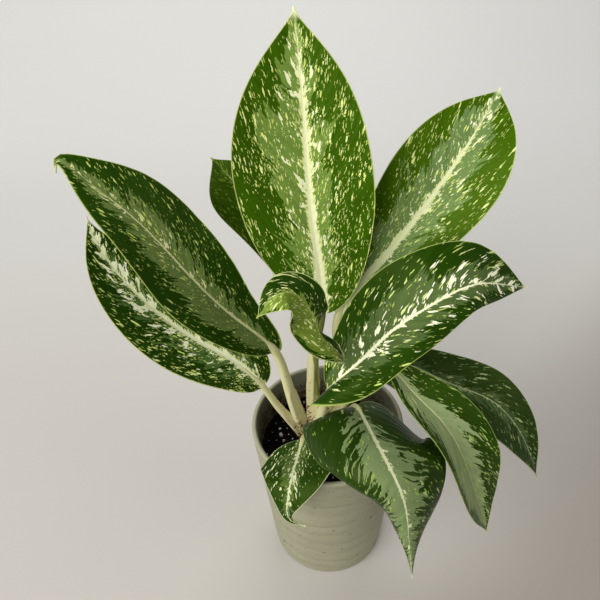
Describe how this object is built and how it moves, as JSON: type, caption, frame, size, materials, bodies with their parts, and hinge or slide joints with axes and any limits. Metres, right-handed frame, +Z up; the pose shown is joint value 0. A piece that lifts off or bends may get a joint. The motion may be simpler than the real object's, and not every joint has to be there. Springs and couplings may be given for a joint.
{
  "type": "potted chinese evergreen",
  "caption": "Variegated houseplant with broad pointed leaves on pale stalks, growing from soil in a tapered ceramic pot with soft horizontal throwing rings.",
  "frame": {"origin": "The middle of the pot's flat base, on the surface that it stands on.", "axes": "+Z is up along the pot's axis. +X is to the right in the picture's view and +Y is away from its viewer."},
  "size_m": [0.2901, 0.183, 0.4111],
  "materials": {
    "pot_glaze": "satin, speckled pale sage glaze with low throwing rings",
    "potting_mix": "dark, crumbly and matt, with a few pale mineral grains",
    "stalks": "cream, softly glossy, with small brown spots",
    "leaf_blades": "softly glossy green with a cream midrib, a grey-green middle and cream speckles"
  },
  "bodies": {
    "root": {"pot": "pot_glaze", "soil": "potting_mix", "stem": "stalks", "leaf_top": "leaf_blades", "leaf_upper_right": "leaf_blades", "leaf_upper_left": "leaf_blades", "leaf_left": "leaf_blades", "leaf_lower_left": "leaf_blades", "leaf_right": "leaf_blades", "leaf_young": "leaf_blades", "leaf_lower_right": "leaf_blades", "leaf_far_right": "leaf_blades", "leaf_front": "leaf_blades", "leaf_front_small": "leaf_blades", "leaf_back_right": "leaf_blades"}
  },
  "joints": []
}
